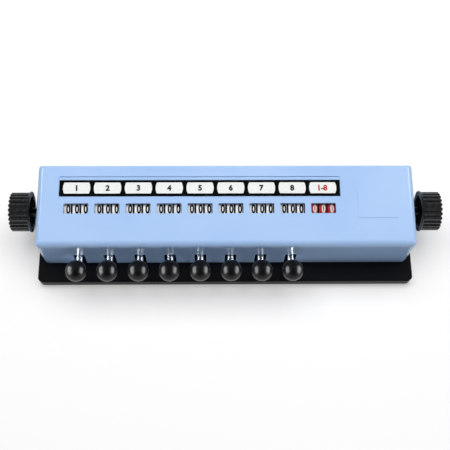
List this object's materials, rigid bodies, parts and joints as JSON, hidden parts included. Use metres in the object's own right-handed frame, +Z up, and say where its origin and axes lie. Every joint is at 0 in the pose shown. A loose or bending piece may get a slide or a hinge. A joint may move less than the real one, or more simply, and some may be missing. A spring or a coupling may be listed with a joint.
{
  "type": "differential cell counter",
  "caption": "Bench tally counter: sloping blue casing on a black base, sprung chrome levers with black balls, windows over number wheels, and a ribbed reset knob at each end.",
  "frame": {"origin": "on the bench, under the middle of the object's box", "axes": "+X to the user's right along the row of windows, +Y to the back, +Z up"},
  "size_m": [0.354, 0.0954, 0.0589],
  "materials": {
    "casing_plastic": "glossy light blue moulded plastic",
    "base_plastic": "glossy black moulded plate",
    "knob_plastic": "satin black moulded plastic",
    "ball_plastic": "polished black phenolic",
    "lever_chrome": "bright chrome plated steel",
    "shaft_steel": "dark oiled steel",
    "sheet_steel": "zinc plated sheet steel",
    "rod_steel": "ground steel rod",
    "screw_steel": "zinc plated screws",
    "bush_brass": "turned brass",
    "bell_chrome": "plated bell metal",
    "pinion_plastic": "natural moulded plastic",
    "wheel_white": "white moulded number wheel",
    "wheel_red": "red moulded number wheel",
    "label_black": "black label strip with white labels",
    "foot_rubber": "black rubber"
  },
  "bodies": {
    "root": {"base_plate": "base_plastic", "rubber_feet": "foot_rubber", "base_screws": "screw_steel", "casing": "casing_plastic", "label_strip": "label_black", "shaft_bushes": "bush_brass", "mechanism_frame": "sheet_steel", "frame_rods": "rod_steel", "return_springs": "rod_steel", "bell": "bell_chrome", "bell_post": "rod_steel"},
    "reset_shaft": {"reset_shaft": "shaft_steel", "reset_knob_left": "knob_plastic", "reset_knob_right": "knob_plastic"},
    "total_bail": {"total_bail": "sheet_steel"},
    "carry_pinions": {"carry_pinions": "pinion_plastic"},
    "bell_hammer": {"bell_hammer": "rod_steel"},
    "key_1": {"key_lever_1": "lever_chrome", "key_ball_1": "ball_plastic"},
    "key_2": {"key_lever_2": "lever_chrome", "key_ball_2": "ball_plastic"},
    "key_3": {"key_lever_3": "lever_chrome", "key_ball_3": "ball_plastic"},
    "key_4": {"key_lever_4": "lever_chrome", "key_ball_4": "ball_plastic"},
    "key_5": {"key_lever_5": "lever_chrome", "key_ball_5": "ball_plastic"},
    "key_6": {"key_lever_6": "lever_chrome", "key_ball_6": "ball_plastic"},
    "key_7": {"key_lever_7": "lever_chrome", "key_ball_7": "ball_plastic"},
    "key_8": {"key_lever_8": "lever_chrome", "key_ball_8": "ball_plastic"},
    "counter_1_units": {"counter_1_units": "wheel_white"},
    "counter_1_tens": {"counter_1_tens": "wheel_white"},
    "counter_1_hundreds": {"counter_1_hundreds": "wheel_white"},
    "counter_2_units": {"counter_2_units": "wheel_white"},
    "counter_2_tens": {"counter_2_tens": "wheel_white"},
    "counter_2_hundreds": {"counter_2_hundreds": "wheel_white"},
    "counter_3_units": {"counter_3_units": "wheel_white"},
    "counter_3_tens": {"counter_3_tens": "wheel_white"},
    "counter_3_hundreds": {"counter_3_hundreds": "wheel_white"},
    "counter_4_units": {"counter_4_units": "wheel_white"},
    "counter_4_tens": {"counter_4_tens": "wheel_white"},
    "counter_4_hundreds": {"counter_4_hundreds": "wheel_white"},
    "counter_5_units": {"counter_5_units": "wheel_white"},
    "counter_5_tens": {"counter_5_tens": "wheel_white"},
    "counter_5_hundreds": {"counter_5_hundreds": "wheel_white"},
    "counter_6_units": {"counter_6_units": "wheel_white"},
    "counter_6_tens": {"counter_6_tens": "wheel_white"},
    "counter_6_hundreds": {"counter_6_hundreds": "wheel_white"},
    "counter_7_units": {"counter_7_units": "wheel_white"},
    "counter_7_tens": {"counter_7_tens": "wheel_white"},
    "counter_7_hundreds": {"counter_7_hundreds": "wheel_white"},
    "counter_8_units": {"counter_8_units": "wheel_white"},
    "counter_8_tens": {"counter_8_tens": "wheel_white"},
    "counter_8_hundreds": {"counter_8_hundreds": "wheel_white"},
    "total_units": {"total_units": "wheel_red"},
    "total_tens": {"total_tens": "wheel_red"},
    "total_hundreds": {"total_hundreds": "wheel_red"}
  },
  "joints": [
    {"name": "reset_turn", "type": "hinge", "parent": "root", "child": "reset_shaft", "pos_m": [0, 0.01235, 0.0376], "axis": [1, 0, 0], "continuous": true},
    {"name": "total_bail_swing", "type": "hinge", "parent": "root", "child": "total_bail", "pos_m": [0, -0.00115, 0.016], "axis": [1, 0, 0], "range_deg": [0, 5], "stiffness_Nm_per_rad": 0.02, "springref_deg": -17.19},
    {"name": "pinions_turn", "type": "hinge", "parent": "root", "child": "carry_pinions", "pos_m": [0, 0.03175, 0.0376], "axis": [1, 0, 0], "continuous": true},
    {"name": "bell_hammer_swing", "type": "hinge", "parent": "root", "child": "bell_hammer", "pos_m": [0.1105, -0.00115, 0.016], "axis": [1, 0, 0], "range_deg": [0, 24], "stiffness_Nm_per_rad": 0.01, "springref_deg": -17.19},
    {"name": "key_1_press", "type": "hinge", "parent": "root", "child": "key_1", "pos_m": [-0.1214, -0.00115, 0.016], "axis": [1, 0, 0], "range_deg": [0, 13], "stiffness_Nm_per_rad": 0.12, "springref_deg": -20.05},
    {"name": "key_2_press", "type": "hinge", "parent": "root", "child": "key_2", "pos_m": [-0.0964, -0.00115, 0.016], "axis": [1, 0, 0], "range_deg": [0, 13], "stiffness_Nm_per_rad": 0.12, "springref_deg": -20.05},
    {"name": "key_3_press", "type": "hinge", "parent": "root", "child": "key_3", "pos_m": [-0.0714, -0.00115, 0.016], "axis": [1, 0, 0], "range_deg": [0, 13], "stiffness_Nm_per_rad": 0.12, "springref_deg": -20.05},
    {"name": "key_4_press", "type": "hinge", "parent": "root", "child": "key_4", "pos_m": [-0.0464, -0.00115, 0.016], "axis": [1, 0, 0], "range_deg": [0, 13], "stiffness_Nm_per_rad": 0.12, "springref_deg": -20.05},
    {"name": "key_5_press", "type": "hinge", "parent": "root", "child": "key_5", "pos_m": [-0.0214, -0.00115, 0.016], "axis": [1, 0, 0], "range_deg": [0, 13], "stiffness_Nm_per_rad": 0.12, "springref_deg": -20.05},
    {"name": "key_6_press", "type": "hinge", "parent": "root", "child": "key_6", "pos_m": [0.0036, -0.00115, 0.016], "axis": [1, 0, 0], "range_deg": [0, 13], "stiffness_Nm_per_rad": 0.12, "springref_deg": -20.05},
    {"name": "key_7_press", "type": "hinge", "parent": "root", "child": "key_7", "pos_m": [0.0286, -0.00115, 0.016], "axis": [1, 0, 0], "range_deg": [0, 13], "stiffness_Nm_per_rad": 0.12, "springref_deg": -20.05},
    {"name": "key_8_press", "type": "hinge", "parent": "root", "child": "key_8", "pos_m": [0.0536, -0.00115, 0.016], "axis": [1, 0, 0], "range_deg": [0, 13], "stiffness_Nm_per_rad": 0.12, "springref_deg": -20.05},
    {"name": "counter_1_units_turn", "type": "hinge", "parent": "root", "child": "counter_1_units", "pos_m": [-0.1146, 0.01235, 0.0376], "axis": [1, 0, 0], "continuous": true},
    {"name": "counter_1_tens_turn", "type": "hinge", "parent": "root", "child": "counter_1_tens", "pos_m": [-0.1216, 0.01235, 0.0376], "axis": [1, 0, 0], "continuous": true},
    {"name": "counter_1_hundreds_turn", "type": "hinge", "parent": "root", "child": "counter_1_hundreds", "pos_m": [-0.1286, 0.01235, 0.0376], "axis": [1, 0, 0], "continuous": true},
    {"name": "counter_2_units_turn", "type": "hinge", "parent": "root", "child": "counter_2_units", "pos_m": [-0.0896, 0.01235, 0.0376], "axis": [1, 0, 0], "continuous": true},
    {"name": "counter_2_tens_turn", "type": "hinge", "parent": "root", "child": "counter_2_tens", "pos_m": [-0.0966, 0.01235, 0.0376], "axis": [1, 0, 0], "continuous": true},
    {"name": "counter_2_hundreds_turn", "type": "hinge", "parent": "root", "child": "counter_2_hundreds", "pos_m": [-0.1036, 0.01235, 0.0376], "axis": [1, 0, 0], "continuous": true},
    {"name": "counter_3_units_turn", "type": "hinge", "parent": "root", "child": "counter_3_units", "pos_m": [-0.0646, 0.01235, 0.0376], "axis": [1, 0, 0], "continuous": true},
    {"name": "counter_3_tens_turn", "type": "hinge", "parent": "root", "child": "counter_3_tens", "pos_m": [-0.0716, 0.01235, 0.0376], "axis": [1, 0, 0], "continuous": true},
    {"name": "counter_3_hundreds_turn", "type": "hinge", "parent": "root", "child": "counter_3_hundreds", "pos_m": [-0.0786, 0.01235, 0.0376], "axis": [1, 0, 0], "continuous": true},
    {"name": "counter_4_units_turn", "type": "hinge", "parent": "root", "child": "counter_4_units", "pos_m": [-0.0396, 0.01235, 0.0376], "axis": [1, 0, 0], "continuous": true},
    {"name": "counter_4_tens_turn", "type": "hinge", "parent": "root", "child": "counter_4_tens", "pos_m": [-0.0466, 0.01235, 0.0376], "axis": [1, 0, 0], "continuous": true},
    {"name": "counter_4_hundreds_turn", "type": "hinge", "parent": "root", "child": "counter_4_hundreds", "pos_m": [-0.0536, 0.01235, 0.0376], "axis": [1, 0, 0], "continuous": true},
    {"name": "counter_5_units_turn", "type": "hinge", "parent": "root", "child": "counter_5_units", "pos_m": [-0.0146, 0.01235, 0.0376], "axis": [1, 0, 0], "continuous": true},
    {"name": "counter_5_tens_turn", "type": "hinge", "parent": "root", "child": "counter_5_tens", "pos_m": [-0.0216, 0.01235, 0.0376], "axis": [1, 0, 0], "continuous": true},
    {"name": "counter_5_hundreds_turn", "type": "hinge", "parent": "root", "child": "counter_5_hundreds", "pos_m": [-0.0286, 0.01235, 0.0376], "axis": [1, 0, 0], "continuous": true},
    {"name": "counter_6_units_turn", "type": "hinge", "parent": "root", "child": "counter_6_units", "pos_m": [0.0104, 0.01235, 0.0376], "axis": [1, 0, 0], "continuous": true},
    {"name": "counter_6_tens_turn", "type": "hinge", "parent": "root", "child": "counter_6_tens", "pos_m": [0.0034, 0.01235, 0.0376], "axis": [1, 0, 0], "continuous": true},
    {"name": "counter_6_hundreds_turn", "type": "hinge", "parent": "root", "child": "counter_6_hundreds", "pos_m": [-0.0036, 0.01235, 0.0376], "axis": [1, 0, 0], "continuous": true},
    {"name": "counter_7_units_turn", "type": "hinge", "parent": "root", "child": "counter_7_units", "pos_m": [0.0354, 0.01235, 0.0376], "axis": [1, 0, 0], "continuous": true},
    {"name": "counter_7_tens_turn", "type": "hinge", "parent": "root", "child": "counter_7_tens", "pos_m": [0.0284, 0.01235, 0.0376], "axis": [1, 0, 0], "continuous": true},
    {"name": "counter_7_hundreds_turn", "type": "hinge", "parent": "root", "child": "counter_7_hundreds", "pos_m": [0.0214, 0.01235, 0.0376], "axis": [1, 0, 0], "continuous": true},
    {"name": "counter_8_units_turn", "type": "hinge", "parent": "root", "child": "counter_8_units", "pos_m": [0.0604, 0.01235, 0.0376], "axis": [1, 0, 0], "continuous": true},
    {"name": "counter_8_tens_turn", "type": "hinge", "parent": "root", "child": "counter_8_tens", "pos_m": [0.0534, 0.01235, 0.0376], "axis": [1, 0, 0], "continuous": true},
    {"name": "counter_8_hundreds_turn", "type": "hinge", "parent": "root", "child": "counter_8_hundreds", "pos_m": [0.0464, 0.01235, 0.0376], "axis": [1, 0, 0], "continuous": true},
    {"name": "total_units_turn", "type": "hinge", "parent": "root", "child": "total_units", "pos_m": [0.0854, 0.01235, 0.0376], "axis": [1, 0, 0], "continuous": true},
    {"name": "total_tens_turn", "type": "hinge", "parent": "root", "child": "total_tens", "pos_m": [0.0784, 0.01235, 0.0376], "axis": [1, 0, 0], "continuous": true},
    {"name": "total_hundreds_turn", "type": "hinge", "parent": "root", "child": "total_hundreds", "pos_m": [0.0714, 0.01235, 0.0376], "axis": [1, 0, 0], "continuous": true}
  ],
  "couplings": [
    {"joint": "counter_1_tens_turn", "follows": "counter_1_units_turn", "ratio": 0.1},
    {"joint": "counter_1_hundreds_turn", "follows": "counter_1_units_turn", "ratio": 0.01},
    {"joint": "counter_2_tens_turn", "follows": "counter_2_units_turn", "ratio": 0.1},
    {"joint": "counter_2_hundreds_turn", "follows": "counter_2_units_turn", "ratio": 0.01},
    {"joint": "counter_3_tens_turn", "follows": "counter_3_units_turn", "ratio": 0.1},
    {"joint": "counter_3_hundreds_turn", "follows": "counter_3_units_turn", "ratio": 0.01},
    {"joint": "counter_4_tens_turn", "follows": "counter_4_units_turn", "ratio": 0.1},
    {"joint": "counter_4_hundreds_turn", "follows": "counter_4_units_turn", "ratio": 0.01},
    {"joint": "counter_5_tens_turn", "follows": "counter_5_units_turn", "ratio": 0.1},
    {"joint": "counter_5_hundreds_turn", "follows": "counter_5_units_turn", "ratio": 0.01},
    {"joint": "counter_6_tens_turn", "follows": "counter_6_units_turn", "ratio": 0.1},
    {"joint": "counter_6_hundreds_turn", "follows": "counter_6_units_turn", "ratio": 0.01},
    {"joint": "counter_7_tens_turn", "follows": "counter_7_units_turn", "ratio": 0.1},
    {"joint": "counter_7_hundreds_turn", "follows": "counter_7_units_turn", "ratio": 0.01},
    {"joint": "counter_8_tens_turn", "follows": "counter_8_units_turn", "ratio": 0.1},
    {"joint": "counter_8_hundreds_turn", "follows": "counter_8_units_turn", "ratio": 0.01},
    {"joint": "total_tens_turn", "follows": "total_units_turn", "ratio": 0.1},
    {"joint": "total_hundreds_turn", "follows": "total_units_turn", "ratio": 0.01}
  ]
}
